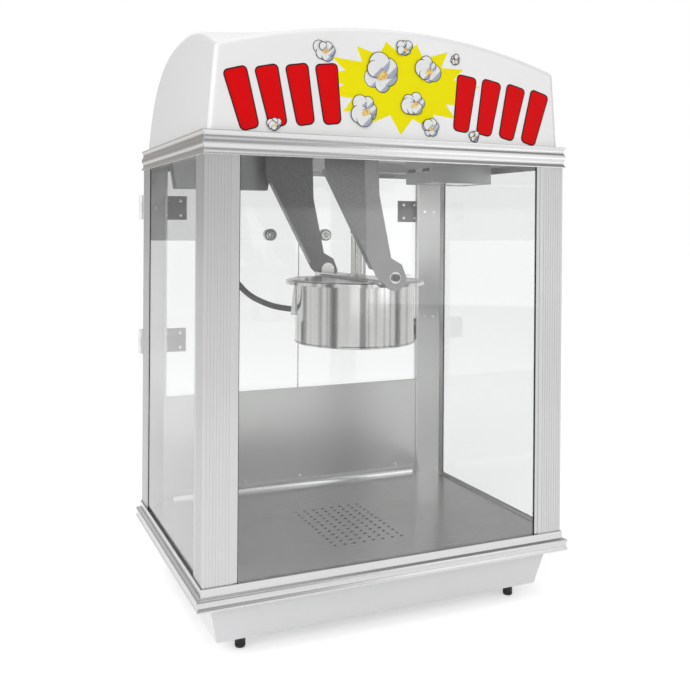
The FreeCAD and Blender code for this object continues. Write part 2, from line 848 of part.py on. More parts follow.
def shaft_sleeve():
    """Bearing sleeve for the agitator, with a flange and two stays on the crossbar."""
    z = kettle_top + bar_h
    tube = rod(V(kettle_x, 0, z), V(kettle_x, 0, sleeve_top), sleeve_r)
    flange = rod(V(kettle_x, 0, z), V(kettle_x, 0, z + flange_t), flange_r)
    yoke_low = sleeve_top - yoke_drop
    yoke = box(kettle_x - yoke_half, kettle_x + yoke_half, yoke_end, 0, yoke_low, yoke_low + 4)
    stays = [rod(V(kettle_x, y, z), V(kettle_x, y, yoke_low + 3), stay_r) for y in stay_places]
    bore = rod(V(kettle_x, 0, z - 1), V(kettle_x, 0, sleeve_top + 1), shaft_r + run_gap)
    return fuse(tube, flange, yoke, *stays).cut(bore)


def agitator():
    """Shaft, tang and the swept blade just above the bowl's floor."""
    floor = kettle_top - bowl_depth + bowl_t
    foot = floor + floor_gap
    shaft = rod(V(kettle_x, 0, foot), V(kettle_x, 0, sleeve_top + 1.5), shaft_r)
    tang = box(kettle_x - tang_w / 2, kettle_x + tang_w / 2, -tang_t / 2, tang_t / 2,
               sleeve_top + 1.0, shaft_top)
    shoulder = rod(V(kettle_x, 0, sleeve_top + 0.5), V(kettle_x, 0, sleeve_top + 1.5), sleeve_r - 1.0)
    hub = rod(V(kettle_x, 0, foot), V(kettle_x, 0, foot + hub_h), hub_r)
    blade_len = bowl_r - blade_gap
    blade = box(kettle_x - blade_len, kettle_x + blade_len, -blade_half_t, blade_half_t, foot + 0.5,
                foot + 0.5 + blade_h)
    wire_half = V(0, blade_len * 0.8, 0)
    wire_mid = V(kettle_x, 0, foot + hub_h / 2)
    wire = rod(wire_mid - wire_half, wire_mid + wire_half, wire_r)
    return fuse(shaft, tang, shoulder, hub, blade, wire)


def lid_hinge_x():
    return bar_w / 2 + lid_hinge_play + lid_hinge_r


def lid_left():
    """Flat lid on the left of the crossbar, with its rolled edge and lifting tab."""
    z = kettle_top + lid_lift
    edge = lid_hinge_x()
    disc = Part.makeCylinder(lid_r, lid_t, V(kettle_x, 0, z))
    plate = disc.common(box(kettle_x - lid_r, kettle_x - edge, -lid_r, lid_r, z - 1, z + 5))
    half = math.sqrt(lid_r ** 2 - edge ** 2) - 8.0
    roll = rod(V(kettle_x - edge, -half, z + lid_hinge_r), V(kettle_x - edge, half, z + lid_hinge_r), lid_hinge_r)
    tab_x = kettle_x - lid_r + 4
    tab = box(tab_x, tab_x + lid_tab_w, -lid_tab_half, lid_tab_half, z + lid_t, z + lid_t + 6)
    tab = tab.cut(box(tab_x, tab_x + lid_tab_w - 1.5, -lid_tab_half - 1, lid_tab_half + 1, z, z + lid_t + 4.5))
    return fuse(plate, roll, tab)


def lid_right():
    made = lid_left()
    made = made.mirror(V(kettle_x, 0, 0), V(1, 0, 0))
    return made


def terminal_face(height):
    """Distance of the terminal box's leaning face from the kettle's axis."""
    return kettle_r + terminal_out - height * math.tan(math.radians(terminal_lean))


def terminal_box():
    """Cover over the heater terminals at the kettle's rear left."""
    low = kettle_low + terminal_low
    high = kettle_top - rim_turn - 1.0
    root = kettle_r - 20.0
    block = prism([V(-root, -terminal_half, high), V(-terminal_face(high - low), -terminal_half, high),
                   V(-terminal_face(0), -terminal_half, low), V(-root, -terminal_half, low)],
                  V(0, 2 * terminal_half, 0))
    block.rotate(V(0, 0, 0), V(0, 0, 1), -terminal_turn)
    block.translate(V(kettle_x, 0, 0))
    return block.cut(Part.makeCylinder(kettle_r + 0.1, kettle_h, V(kettle_x, 0, kettle_low)))


def lead_start():
    """Where the lead leaves the terminal box, and its direction there."""
    turn = math.radians(terminal_turn)
    rise = math.radians(terminal_lean)
    reach = terminal_face(lead_up)
    at = V(kettle_x - reach * math.cos(turn), reach * math.sin(turn), kettle_low + terminal_low + lead_up)
    away = V(-math.cos(turn) * math.cos(rise), math.sin(turn) * math.cos(rise), math.sin(rise))
    return at, away


def arm_outline():
    """Outline of a kettle arm in the XZ plane, as a closed wire at y = 0."""
    left = pivot_x - 143.0
    p = [V(left, 0, post_top), V(left + 4, 0, post_top - 47), V(pivot_x - 38, 0, pivot_z + 4)]
    foot_left = V(pivot_x - arm_foot_r * 0.8, 0, pivot_z - arm_foot_r * 0.6)
    foot_low = V(pivot_x + arm_foot_r * 0.1, 0, pivot_z - arm_foot_r * 0.99)
    foot_right = V(pivot_x + arm_foot_r, 0, pivot_z)
    right = [V(pivot_x + 14, 0, pivot_z + 24), V(pivot_x - 8, 0, pivot_z + 36),
             V(pivot_x - 33, 0, pivot_z + 152), V(left + arm_top_w, 0, post_top)]
    edges = [Part.LineSegment(p[0], p[1]).toShape(), Part.LineSegment(p[1], p[2]).toShape(),
             Part.LineSegment(p[2], foot_left).toShape(),
             Part.Arc(foot_left, foot_low, foot_right).toShape()]
    chain = [foot_right] + right + [p[0]]
    for a, b in zip(chain, chain[1:]):
        edges.append(Part.LineSegment(a, b).toShape())
    return Part.Wire(edges), p


def kettle_arm(side):
    """Arm plate with a flange along its left edge and a foot against the ceiling."""
    wire, p = arm_outline()
    plate = Part.Face(wire).extrude(V(0, arm_t, 0))
    plate.translate(V(0, -arm_t / 2, 0))
    run = (p[2] - p[1])
    inward = V(-run.z, 0, run.x).normalize() * arm_t
    edge = p[2] - run * 0.06
    flange = prism([p[1] + V(0, arm_t / 2, 0), edge + V(0, arm_t / 2, 0),
                    edge + inward + V(0, arm_t / 2, 0), p[1] + inward + V(0, arm_t / 2, 0)],
                   V(0, arm_flange, 0))
    foot = box(p[0].x, p[0].x + arm_top_w, -arm_t / 2, arm_flange, post_top - arm_t, post_top)
    hole = rod(V(pivot_x, -20, pivot_z), V(pivot_x, 20, pivot_z), trunnion_r + run_gap)
    made = fuse(plate, flange, foot).cut(hole)
    made.translate(V(0, side * arm_y, 0))
    return made


# The lead leaves the terminal box, sags outwards and climbs to a plug in the ceiling socket.
def lead_route():
    start, away = lead_start()
    sx, sy = socket_place()
    plug_low = post_top - box_drop - socket_h - plug_h
    return [start, start + away * 29.0, V(-137.0, 79.0, 545.5), V(-156.0, 98.0, 556.0),
            V(-171.0, 118.0, 572.0), V(-182.0, 137.0, 593.0), V(-189.0, 155.0, 620.0),
            V(-192.5, 172.0, 650.0), V(-192.5, 188.0, 681.0), V(sx, sy, 708.0), V(sx, sy, plug_low)]


def lead_tube():
    """Straight runs joined by tangent arcs, swept with a round section."""
    points = lead_route()
    edges = []
    radii = []
    last = points[0]
    for before, at, after in zip(points, points[1:], points[2:]):
        a = (before - at)
        b = (after - at)
        turn = math.pi - a.getAngle(b)
        reach = 0.45 * min(a.Length, b.Length)
        radii.append(reach / math.tan(turn / 2))
        ua = V(a).normalize()
        ub = V(b).normalize()
        start, end = at + ua * reach, at + ub * reach
        half = (ua + ub).normalize()
        centre_off = reach / math.cos(a.getAngle(b) / 2)
        radius = reach * math.tan(a.getAngle(b) / 2)
        mid = at + half * (centre_off - radius)
        edges.append(Part.LineSegment(last, start).toShape())
        edges.append(Part.Arc(start, mid, end).toShape())
        last = end
    edges.append(Part.LineSegment(last, points[-1]).toShape())
    path = Part.Wire(edges)
    first = points[1] - points[0]
    section = Part.Wire(Part.makeCircle(lead_r, points[0], first))
    tube = path.makePipeShell([section], True, False)
    area = math.pi * lead_r ** 2
    print("lead radii", [round(r) for r in radii], "length", round(path.Length),
          "volume ratio", round(tube.Volume / (area * path.Length), 4))
    return tube


def lead_plug():
    x, y = socket_place()
    top = post_top - box_drop - socket_h
    body = rod(V(x, y, top - plug_h), V(x, y, top), plug_r)
    return body.makeFillet(2.0, [body.Edges[0], body.Edges[2]])


# ---- fasteners -----------------------------------------------------------------------


def panel_screws():
    """Visible screw heads on the corner covers and on the rear panel's foot."""
    heads = []
    inward = V(1, -1, 0).normalize()
    mid = V((-leg_in - cover_flange - inner_w) / 2, (inner_d + leg_in_d + cover_flange) / 2, 0)
    surface = mid + inward * cover_t
    along = V(1, 1, 0).normalize()
    for z in (header_z - 90.0, header_z - 335.0):
        for offset in (-11.0, 11.0):
            head = screw_head(surface + along * offset + V(0, 0, z), inward)
            heads += [head, mirror_x(head)]
    for x in (-125.0, 2.0, 240.0):
        heads.append(screw_head(V(x, inner_d + 0.5, deck_top + 22.0), V(0, -1, 0)))
    return heads


def leaf_screws(side):
    heads = []
    for z in (hinge_low, hinge_high):
        for up in (hinge_h * 0.2, hinge_h * 0.8):
            x = side * (pin_x - leaf_reach + leaf_screw_in)
            heads.append(screw_head(V(x, door_out + leaf_t, z + up), V(0, 1, 0)))
    return heads


# ---- write every piece -----------------------------------------------------------------

os.makedirs("parts", exist_ok=True)

save("base_pan", base_pan())
save("feet", *feet())
trim_ring("base_trim", base_trim_profile())
trim_ring("top_trim", top_trim_profile())
save("sill_rails", *sill_rails())
save("header_rails", *header_rails())
save("deck_plate", deck_plate())
save("deck_heater", *deck_heater())
save("kernel_drawer", kernel_drawer())

save("post_front_left", post(True))
save("post_front_right", mirror_x(post(True)))
save("post_rear_left", post(False))
save("post_rear_right", mirror_x(post(False)))
save("corner_covers", corner_cover(), mirror_x(corner_cover()))
save("glass_front", glass_front())
save("glass_left", glass_left())
save("glass_right", mirror_x(glass_left()))
save("ceiling_plate", ceiling_plate())
save("dome", dome())

lamp_holder, lamp_bulb, lamp_lens = lamp_parts()
save("wiring_box", wiring_box())
save("switch_plate", switch_plate())
for label, place in zip(("heat", "motor", "light"), rocker_places()):
    save("rocker_" + label, rocker(place))
save("lamp_housing", lamp_housing())
save("lamp_holder", lamp_holder)
save("lamp_bulb", lamp_bulb)
save("lamp_lens", lamp_lens)
save("kettle_socket", kettle_socket())
save("drive_motor", drive_motor())
save("drive_shaft", drive_shaft())
save("kettle_arm_front", kettle_arm(-1))
save("kettle_arm_rear", mirror_y(kettle_arm(-1)))

save("rear_panel", rear_panel())
save("rear_sill", rear_sill())
save("panel_screws", *panel_screws())
save("post_leaves", *post_leaves_left(), *[mirror_x(leaf) for leaf in post_leaves_left()])
save("door_left", door_left())
save("door_right", mirror_x(door_left()))
save("door_leaves_left", *door_leaves_left(), *leaf_screws(-1))
save("door_leaves_right", *[mirror_x(leaf) for leaf in door_leaves_left()], *leaf_screws(1))
save("door_knob_left", knob_left())
save("door_knob_right", mirror_x(knob_left()))

save("kettle_shell", kettle_shell())
save("kettle_bowl", kettle_bowl())
save("kettle_heater", kettle_heater())
save("kettle_crossbar", kettle_crossbar())
save("shaft_sleeve", shaft_sleeve())
save("agitator", agitator())
save("lid_left", lid_left())
save("lid_right", lid_right())
save("terminal_box", terminal_box())
save("kettle_lead", lead_tube())
save("lead_plug", lead_plug())
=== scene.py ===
# A countertop popcorn machine: a glazed cabinet on a low white base, with a tilting kettle,
# a perforated deck, two rear doors and a moulded dome on top. It is dressed here section by
# section, in the order it is put together. Metres, +Z up, and the front faces -Y.

import math
import random

import bmesh
import bpy
from mathutils import Matrix, Vector
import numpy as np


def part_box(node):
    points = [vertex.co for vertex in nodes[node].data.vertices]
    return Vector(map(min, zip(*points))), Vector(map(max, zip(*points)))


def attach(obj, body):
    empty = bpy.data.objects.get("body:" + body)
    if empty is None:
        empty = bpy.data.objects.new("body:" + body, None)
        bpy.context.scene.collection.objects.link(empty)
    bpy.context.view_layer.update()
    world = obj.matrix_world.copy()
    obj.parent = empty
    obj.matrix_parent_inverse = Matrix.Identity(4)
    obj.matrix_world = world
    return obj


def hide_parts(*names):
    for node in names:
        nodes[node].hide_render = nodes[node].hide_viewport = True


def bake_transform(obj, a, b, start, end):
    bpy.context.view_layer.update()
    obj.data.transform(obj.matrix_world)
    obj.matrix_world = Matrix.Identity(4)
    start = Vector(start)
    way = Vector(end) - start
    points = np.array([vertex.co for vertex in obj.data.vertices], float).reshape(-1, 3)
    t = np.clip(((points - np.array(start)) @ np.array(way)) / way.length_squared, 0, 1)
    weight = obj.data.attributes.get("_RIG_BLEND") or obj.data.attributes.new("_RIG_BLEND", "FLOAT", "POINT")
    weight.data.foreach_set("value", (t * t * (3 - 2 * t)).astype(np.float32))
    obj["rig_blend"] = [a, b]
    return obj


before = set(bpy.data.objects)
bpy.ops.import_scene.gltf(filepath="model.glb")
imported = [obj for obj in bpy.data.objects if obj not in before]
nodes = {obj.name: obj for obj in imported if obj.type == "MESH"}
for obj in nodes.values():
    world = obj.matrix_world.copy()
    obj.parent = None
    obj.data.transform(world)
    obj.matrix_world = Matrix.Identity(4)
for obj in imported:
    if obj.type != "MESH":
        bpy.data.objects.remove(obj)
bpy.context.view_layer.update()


# ---- Base pan ---------------------------------------------------------------------------
# The pan is folded from sheet steel and powder coated white. Its coat shows a fine orange
# peel and a slight unevenness of tone over each face.

coat_white = (0.94, 0.945, 0.95, 1.0)


def new_material(name, metallic=0.0, roughness=0.5, color=(0.8, 0.8, 0.8, 1.0)):
    material = bpy.data.materials.new(name)
    material.use_nodes = True
    shader = material.node_tree.nodes["Principled BSDF"]
    shader.inputs["Metallic"].default_value = metallic
    shader.inputs["Roughness"].default_value = roughness
    shader.inputs["Base Color"].default_value = color
    return material, material.node_tree, shader


def feed(tree, socket, value):
    """Links another node's output to a socket, or sets the socket to a plain value."""
    if isinstance(value, bpy.types.NodeSocket):
        tree.links.new(value, socket)
    else:
        socket.default_value = value


def add_node(tree, kind, settings=None, **inputs):
    """A node with its properties set and its inputs fed; an input's name has _ for a space."""
    node = tree.nodes.new("ShaderNode" + kind)
    for key, value in (settings or {}).items():
        setattr(node, key, value)
    for key, value in inputs.items():
        feed(tree, node.inputs[key.replace("_", " ")], value)
    return node


def arithmetic(tree, operation, *values):
    """The result of a Math node on numbers and other nodes' outputs."""
    node = add_node(tree, "Math", {"operation": operation})
    for socket, value in zip(node.inputs, values):
        feed(tree, socket, value)
    return node.outputs[0]


def ramp(tree, factor, stops):
    """A colour ramp's colour, from (position, tone) stops. A tone is a grey or an RGB colour."""
    node = add_node(tree, "ValToRGB", Fac=factor)
    elements = node.color_ramp.elements
    colors = [(*tone, 1.0) if isinstance(tone, tuple) else (tone, tone, tone, 1.0) for _, tone in stops]
    for element, end in ((elements[0], 0), (elements[1], -1)):
        element.position = stops[end][0]
        element.color = colors[end]
    for (at, _), color in list(zip(stops, colors))[1:-1]:
        elements.new(at).color = color
    return node.outputs["Color"]


def new_group(name, inputs, outputs):
    tree = bpy.data.node_groups.new(name, "ShaderNodeTree")
    for label, kind, value in inputs:
        socket = tree.interface.new_socket(label, in_out="INPUT", socket_type="NodeSocket" + kind)
        if value is not None:
            socket.default_value = value
    for label, kind in outputs:
        tree.interface.new_socket(label, in_out="OUTPUT", socket_type="NodeSocket" + kind)
    entry = tree.nodes.new("NodeGroupInput").outputs
    ending = tree.nodes.new("NodeGroupOutput").inputs
    return tree, entry, ending


def around_one(tree, value, amount):
    """A factor that swings about 1 by the amount, as the value goes from 0 to 1."""
    lowest = arithmetic(tree, "MULTIPLY_ADD", amount, -0.5, 1.0)
    return arithmetic(tree, "MULTIPLY_ADD", value, amount, lowest)


def scaled(tree, color, factor):
    node = add_node(tree, "VectorMath", {"operation": "SCALE"})
    tree.links.new(color, node.inputs[0])
    tree.links.new(factor, node.inputs["Scale"])
    return node.outputs[0]


coat, entry, ending = new_group(
    "coat",
    [("Vector", "Vector", None), ("Color", "Color", (0.8, 0.8, 0.8, 1.0)), ("Roughness", "Float", 0.4),
     ("Peel Size", "Float", 700.0), ("Peel Depth", "Float", 0.15), ("Unevenness", "Float", 0.06)],
    [("Color", "Color"), ("Roughness", "Float"), ("Normal", "Vector")])
peel = add_node(coat, "TexNoise", Vector=entry["Vector"], Scale=entry["Peel Size"], Detail=2.0)
clouds = add_node(coat, "TexNoise", Vector=entry["Vector"], Scale=7.0, Detail=4.0, Roughness=0.6)
tone = around_one(coat, clouds.outputs["Fac"], entry["Unevenness"])
coat.links.new(scaled(coat, entry["Color"], tone), ending["Color"])
coat.links.new(arithmetic(coat, "MULTIPLY", entry["Roughness"], tone), ending["Roughness"])
bump = add_node(coat, "Bump", Strength=entry["Peel Depth"], Distance=0.0006, Height=peel.outputs["Fac"])
coat.links.new(bump.outputs[0], ending["Normal"])


def coated(name, color, roughness, peel_size=700.0, peel_depth=0.15, unevenness=0.06):
    """A painted or moulded finish, its colour, gloss and peel from the coat group."""
    material, tree, shader = new_material(name, roughness=roughness, color=color)
    place = add_node(tree, "TexCoord").outputs["Object"]
    skin = add_node(tree, "Group", {"node_tree": coat}, Vector=place, Color=color, Roughness=roughness,
                    Peel_Size=peel_size, Peel_Depth=peel_depth, Unevenness=unevenness)
    for label, target in (("Color", "Base Color"), ("Roughness", "Roughness"), ("Normal", "Normal")):
        tree.links.new(skin.outputs[label], shader.inputs[target])
    return material, tree, shader


def dress(material, *names):
    for name in names:
        for slot in nodes[name].material_slots:
            slot.material = material


def soften(width, *names):
    """Rounds the crisp edges of sheet and extruded pieces, as bending, drawing and coating do."""
    for name in names:
        joined = nodes[name].modifiers.new("joined", "WELD")
        joined.merge_threshold = 1e-5
        flat = nodes[name].modifiers.new("flat_faces", "DECIMATE")
        flat.decimate_type = "DISSOLVE"
        flat.angle_limit = math.radians(1.0)
        rounding = nodes[name].modifiers.new("rounded_edges", "BEVEL")
        rounding.width = width
        rounding.segments = 2
        rounding.limit_method = "ANGLE"
        rounding.angle_limit = math.radians(40)
        evened = nodes[name].modifiers.new("even_shading", "WEIGHTED_NORMAL")
        evened.weight = 80


powder_coat, _, shader = coated("powder_coat", coat_white, 0.34)
shader.inputs["Coat Weight"].default_value = 0.25
shader.inputs["Coat Roughness"].default_value = 0.15
dress(powder_coat, "base_pan")
soften(0.0012, "base_pan")


# ---- Feet -------------------------------------------------------------------------------
# Four moulded rubber feet are screwed up into the pan. Each tapers a little and has a groove
# low down, and its lower edge is rounded.

foot_groove = 0.0012
foot_places = [(x, y) for x in (-0.265, 0.265) for y in (-0.19575, 0.18325)]


def make_piece(name, mesh, material, body):
    """An object from a bmesh that is already in place, riding on a body."""
    data = bpy.data.meshes.new(name)
    mesh.to_mesh(data)
    mesh.free()
    data.materials.append(material)
    data.shade_smooth()
    data.set_sharp_from_angle(angle=math.radians(35))
    piece = bpy.data.objects.new(name, data)
    bpy.context.scene.collection.objects.link(piece)
    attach(piece, body)
    return piece


def turn_profile(mesh, profile, at, axis, steps=40):
    """Adds a shape turned from (radius, height) points about an axis through a point."""
    verts = [mesh.verts.new((radius, 0.0, height)) for radius, height in profile]
    edges = [mesh.edges.new(pair) for pair in zip(verts, verts[1:])]
    before = set(mesh.verts) - set(verts)
    bmesh.ops.spin(mesh, geom=verts + edges, cent=(0, 0, 0), axis=(0, 0, 1),
                   angle=math.tau, steps=steps, use_merge=True)
    made = [vert for vert in mesh.verts if vert not in before]
    bmesh.ops.remove_doubles(mesh, verts=made, dist=1e-6)
    made = [vert for vert in mesh.verts if vert not in before]
    turn = Vector((0, 0, 1)).rotation_difference(Vector(axis)).to_matrix().to_4x4()
    bmesh.ops.transform(mesh, matrix=Matrix.Translation(at) @ turn, verts=made)
    bmesh.ops.recalc_face_normals(mesh, faces=mesh.faces)


rubber, _, _ = coated("foot_rubber", (0.022, 0.022, 0.024, 1.0), 0.62, 1600.0, 0.3, 0.3)
low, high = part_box("feet")
foot_h = high.z - low.z
foot_r = 0.009
mesh = bmesh.new()
for x, y in foot_places:
    turn_profile(mesh, [(0, 0), (foot_r - 0.003, 0), (foot_r - 0.001, 0.0008), (foot_r, 0.003),
                        (foot_r, 0.006), (foot_r - foot_groove, 0.0068), (foot_r - foot_groove, 0.0082),
                        (foot_r, 0.009), (foot_r - 0.0006, foot_h - 0.001), (foot_r - 0.0014, foot_h),
                        (0, foot_h)], (x, y, low.z), (0, 0, 1))
feet = make_piece("moulded_feet", mesh, rubber, "cabinet")
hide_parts("feet")


# ---- Base trim --------------------------------------------------------------------------
# Four mitred lengths of extruded aluminium run round the base, with a projecting lip and a
# sloped face above it. They are bright anodised, with faint die lines along each length.

brushed, entry, ending = new_group(
    "brushed",
    [("Vector", "Vector", None), ("Place", "Vector", None), ("Color", "Color", (0.8, 0.8, 0.8, 1.0)),
     ("Roughness", "Float", 0.3), ("Contrast", "Float", 0.1), ("Mottle", "Float", 0.1),
     ("Depth", "Float", 0.1)],
    [("Color", "Color"), ("Roughness", "Float"), ("Normal", "Vector")])
lines = add_node(brushed, "TexNoise", Vector=entry["Vector"], Scale=1.0, Detail=5.0, Roughness=0.65)
patches = add_node(brushed, "TexNoise", Vector=entry["Place"], Scale=9.0, Detail=3.0, Roughness=0.55)
line_tone = around_one(brushed, lines.outputs["Fac"], entry["Contrast"])
patch_tone = around_one(brushed, patches.outputs["Fac"], entry["Mottle"])
tone = scaled(brushed, scaled(brushed, entry["Color"], line_tone), patch_tone)
brushed.links.new(tone, ending["Color"])
gloss = arithmetic(brushed, "MULTIPLY", entry["Roughness"], line_tone)
brushed.links.new(arithmetic(brushed, "DIVIDE", gloss, patch_tone), ending["Roughness"])
bump = add_node(brushed, "Bump", Strength=entry["Depth"], Distance=0.0002, Height=lines.outputs["Fac"])
brushed.links.new(bump.outputs[0], ending["Normal"])


def metal(name, color, roughness, grain, contrast=0.12, mottle=0.08, depth=0.08):
    """Bare metal whose grain is stretched by the three scales in grain, per metre."""
    material, tree, shader = new_material(name, 1.0, roughness, color)
    place = add_node(tree, "TexCoord").outputs["Object"]
    stretched = add_node(tree, "Mapping", Vector=place, Scale=grain).outputs[0]
    skin = add_node(tree, "Group", {"node_tree": brushed}, Vector=stretched, Place=place, Color=color,
                    Roughness=roughness, Contrast=contrast, Mottle=mottle, Depth=depth)
    for label, target in (("Color", "Base Color"), ("Roughness", "Roughness"), ("Normal", "Normal")):
        tree.links.new(skin.outputs[label], shader.inputs[target])
    return material, tree, shader


anodised = (0.63, 0.63, 0.63, 1.0)
trim_across, _, _ = metal("trim_across", anodised, 0.24, (6, 900, 900), 0.1, 0.05, 0.05)
trim_back, _, _ = metal("trim_front_to_rear", anodised, 0.24, (900, 6, 900), 0.1, 0.05, 0.05)
dress(trim_across, "base_trim_front", "base_trim_rear")
dress(trim_back, "base_trim_left", "base_trim_right")
soften(0.0006, "base_trim_front", "base_trim_rear", "base_trim_left", "base_trim_right")


# ---- Sills, deck and drawer -------------------------------------------------------------
# The deck is a brushed stainless sheet with a punched sieve, on folded sills, and warmed by
# two pads under it. Unpopped kernels fall into a steel drawer that slides out at the rear.

stainless = (0.50, 0.50, 0.495, 1.0)
deck_finish, _, shader = metal("brushed_stainless", stainless, 0.27, (14, 2200, 2200), 0.1, 0.05, 0.05)
shader.inputs["Anisotropic"].default_value = 0.5
dress(deck_finish, "deck_plate", "kernel_drawer")
# The rear sill's metal is near white, brighter than the other sills: partly bright metal, partly painted
# highlight for the bright line along it.
sill_highlight_finish, _, shader = metal("rear_sill_painted_highlight", (0.93, 0.93, 0.93, 1.0), 0.16, (6, 900, 900),
                                0.05, 0.03, 0.03)
shader.inputs["Metallic"].default_value = 0.8
dress(sill_highlight_finish, "rear_sill")
soften(0.0004, "deck_plate", "kernel_drawer")
sill_finish, _, _ = metal("folded_aluminium", (0.7, 0.7, 0.7, 1.0), 0.36, (300, 300, 300), 0.08, 0.1, 0.05)
dress(sill_finish, "sill_rails", "header_rails", "ceiling_plate")
pad_finish, _, _ = coated("heater_rubber", (0.32, 0.045, 0.03, 1.0), 0.6, 1300.0, 0.3, 0.2)
dress(pad_finish, "deck_heater")


# ---- Posts ------------------------------------------------------------------------------
# Four extruded angle posts carry the top. Their faces are finely fluted from end to end and
# satin anodised, and a channel beside each leg takes the edge of the glass.

post_finish, _, shader = metal("satin_anodised", (0.61, 0.61, 0.61, 1.0), 0.4, (700, 700, 4),
                               0.14, 0.05, 0.1)
shader.inputs["Anisotropic"].default_value = 0.35
for end in ("front", "rear"):
    for side in ("left", "right"):
        dress(post_finish, f"post_{end}_{side}")


# ---- Glass ------------------------------------------------------------------------------
# The front and both sides are tempered float glass, with a faint grey tint. Each pane's
# edges sit in thin black rubber beads.

def clear(name, tint, ior=1.5, roughness=0.0):
    """Glass or acrylic that lets the lamps light what is behind it."""
    material, tree, shader = new_material(name, 0.0, roughness, tint)
    shader.inputs["Transmission Weight"].default_value = 1.0
    shader.inputs["IOR"].default_value = ior
    shader.inputs["Specular IOR Level"].default_value = 0.9
    output = tree.nodes["Material Output"]
    passing = add_node(tree, "BsdfTransparent", Color=tint)
    ray = add_node(tree, "LightPath").outputs["Is Shadow Ray"]
    either = add_node(tree, "MixShader", Fac=ray)
    tree.links.new(shader.outputs[0], either.inputs[1])
    tree.links.new(passing.outputs[0], either.inputs[2])
    tree.links.new(either.outputs[0], output.inputs["Surface"])
    return material, tree, shader


glass, _, _ = clear("float_glass", (0.91, 0.92, 0.915, 1.0))
dress(glass, "glass_front", "glass_left", "glass_right")

bead_w = 0.0012
bead_proud = 0.0009
bead_round = 0.0003
strip_t = 0.002              # each glazing strip's thickness
strip_round = 0.0005
strip_gap = 0.0001           # what keeps an added bar off the piece it lies on
post_reach = 0.0578          # glazing channel's end from the post's outer face


def add_bar(mesh, low, high, rounding):
    """Adds a block between two corners, with its edges rounded."""
    low, high = Vector(low), Vector(high)
    made = bmesh.ops.create_cube(mesh, size=1.0)["verts"]
    bmesh.ops.scale(mesh, vec=high - low, verts=made)
    bmesh.ops.translate(mesh, vec=(low + high) / 2, verts=made)
    edges = list({edge for vert in made for edge in vert.link_edges})
    bmesh.ops.bevel(mesh, geom=edges, offset=rounding, segments=2, profile=0.5, affect="EDGES",
                    material=-1)


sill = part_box("deck_plate")[1].z
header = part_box("top_trim_front")[0].z
front_low, front_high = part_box("glass_front")
side_low, side_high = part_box("glass_left")
post_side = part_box("post_front_right")[1].x
post_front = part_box("post_front_right")[0].y
post_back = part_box("post_rear_right")[1].y
mesh = bmesh.new()
for side in (-1, 1):
    edge = side * (post_side - post_reach)
    x0, x1 = sorted((edge, edge - side * bead_w))
    add_bar(mesh, (x0, front_low.y - bead_proud, sill), (x1, front_high.y + bead_proud, header),
            bead_round)
    y_front = post_front + post_reach
    y_back = post_back - post_reach
    near, far = sorted((side * (abs(side_high.x) - bead_proud), side * (abs(side_low.x) + bead_proud)))
    add_bar(mesh, (near, y_front, sill), (far, y_front + bead_w, header), bead_round)
    add_bar(mesh, (near, y_back - bead_w, sill), (far, y_back, header), bead_round)
make_piece("glazing_beads", mesh, rubber, "cabinet")
mesh = bmesh.new()
for side in (-1, 1):
    inner = side * (abs(side_high.x) - strip_gap)
    for step, tall in ((0.0, 0.0046), (0.0024, 0.0026)):
        near, far = sorted((inner - side * step, inner - side * (step + strip_t)))
        add_bar(mesh, (near, y_front, sill + strip_gap), (far, y_back, sill + tall), strip_round)
add_bar(mesh, (-post_side + post_reach, front_high.y + strip_gap, sill + strip_gap),
        (post_side - post_reach, front_high.y + strip_gap + strip_t, sill + 0.0036), strip_round)
make_piece("glazing_strips", mesh, post_finish, "cabinet")


# ---- Corner covers and rear panel -------------------------------------------------------
# Bright stainless sheet closes the lower rear of the cabinet and the inside of its two rear
# corners, held by pan-head screws.

panel_finish, _, shader = metal("panel_stainless", (0.56, 0.56, 0.555, 1.0), 0.3, (2200, 2200, 14),
                                0.1, 0.06, 0.05)
shader.inputs["Anisotropic"].default_value = 0.4
dress(panel_finish, "rear_panel", "corner_covers")
screw_finish, _, _ = metal("zinc_plate", (0.78, 0.78, 0.76, 1.0), 0.25, (400, 400, 400), 0.1, 0.1, 0.1)
dress(screw_finish, "panel_screws")


# ---- Ceiling fittings -------------------------------------------------------------------
# Galvanised boxes hang under the ceiling: the wiring box at the rear left, with its switch
# plate and three rockers, and the lamp housing at the right.

zinc_coat, _, _ = metal("galvanised_sheet", (0.5, 0.505, 0.505, 1.0), 0.46, (260, 260, 260),
                        0.3, 0.2, 0.12)
dress(zinc_coat, "wiring_box", "lamp_housing")
black_plastic, _, _ = coated("black_plastic", (0.02, 0.02, 0.021, 1.0), 0.4, 1500.0, 0.25, 0.15)
dress(black_plastic, "switch_plate", "rocker_motor", "kettle_socket", "lead_plug")
red_plastic, _, _ = coated("red_rocker", (0.55, 0.012, 0.012, 1.0), 0.3, 1200.0, 0.1, 0.1)
dress(red_plastic, "rocker_heat", "rocker_light")
ceramic, _, _ = coated("lamp_ceramic", (0.8, 0.79, 0.75, 1.0), 0.35, 900.0, 0.1, 0.06)
dress(ceramic, "lamp_holder")
bulb_glass, _, _ = coated("opal_bulb", (0.9, 0.88, 0.84, 1.0), 0.2, 300.0, 0.02, 0.04)
dress(bulb_glass, "lamp_bulb")
lens_finish, _, _ = clear("lamp_lens", (0.93, 0.93, 0.92, 1.0), 1.5, 0.12)
dress(lens_finish, "lamp_lens")

